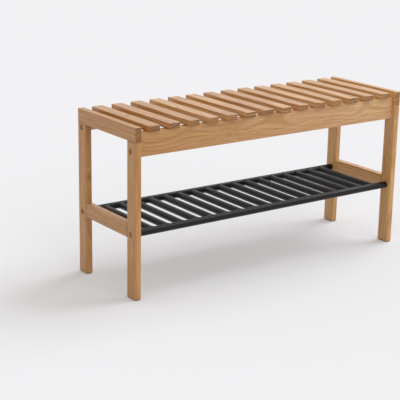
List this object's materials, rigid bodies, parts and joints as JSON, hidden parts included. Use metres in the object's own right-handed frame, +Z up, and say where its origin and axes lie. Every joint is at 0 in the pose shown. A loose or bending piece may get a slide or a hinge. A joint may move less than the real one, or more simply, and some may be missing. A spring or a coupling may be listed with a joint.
{
  "type": "entryway bench",
  "caption": "Long narrow wooden bench with a slatted seat on two end frames and a black metal tube shelf for shoes below.",
  "frame": {"origin": "on the floor, under the middle of the bench", "axes": "+X along the bench to its right-hand end, +Y to its back, +Z up"},
  "size_m": [0.9, 0.28, 0.45],
  "materials": {
    "leg_wood": "oiled acacia, planed and sanded",
    "rail_wood": "oiled acacia, planed and sanded",
    "apron_wood": "oiled acacia, planed and sanded",
    "slat_wood": "oiled acacia, planed and sanded",
    "black_powder_coat": "satin black powder coat on steel tube",
    "zinc_steel": "zinc-plated steel",
    "beech": "bare fluted beech dowel, modelled plain",
    "black_plastic": "moulded polyethylene"
  },
  "bodies": {
    "root": {"leg_front_left": "leg_wood", "leg_front_right": "leg_wood", "leg_back_left": "leg_wood", "leg_back_right": "leg_wood", "top_rail_left": "rail_wood", "top_rail_right": "rail_wood", "side_rail_left": "rail_wood", "side_rail_right": "rail_wood", "apron_front": "apron_wood", "apron_back": "apron_wood", "seat_slat_01": "slat_wood", "seat_slat_02": "slat_wood", "seat_slat_03": "slat_wood", "seat_slat_04": "slat_wood", "seat_slat_05": "slat_wood", "seat_slat_06": "slat_wood", "seat_slat_07": "slat_wood", "seat_slat_08": "slat_wood", "seat_slat_09": "slat_wood", "seat_slat_10": "slat_wood", "seat_slat_11": "slat_wood", "seat_slat_12": "slat_wood", "seat_slat_13": "slat_wood", "seat_slat_14": "slat_wood", "shelf_tube_front": "black_powder_coat", "shelf_tube_back": "black_powder_coat", "shelf_bar_01": "black_powder_coat", "shelf_bar_02": "black_powder_coat", "shelf_bar_03": "black_powder_coat", "shelf_bar_04": "black_powder_coat", "shelf_bar_05": "black_powder_coat", "shelf_bar_06": "black_powder_coat", "shelf_bar_07": "black_powder_coat", "shelf_bar_08": "black_powder_coat", "shelf_bar_09": "black_powder_coat", "shelf_bar_10": "black_powder_coat", "shelf_bar_11": "black_powder_coat", "shelf_bar_12": "black_powder_coat", "shelf_bar_13": "black_powder_coat", "shelf_bar_14": "black_powder_coat", "shelf_bar_15": "black_powder_coat", "shelf_bar_16": "black_powder_coat", "shelf_bar_17": "black_powder_coat", "apron_bolts": "zinc_steel", "shelf_bolts": "zinc_steel", "bolt_washers": "zinc_steel", "barrel_nuts": "zinc_steel", "tube_inserts": "zinc_steel", "apron_dowels": "beech", "side_rail_dowels": "beech", "slat_dowels": "beech", "foot_glides": "black_plastic"}
  },
  "joints": []
}
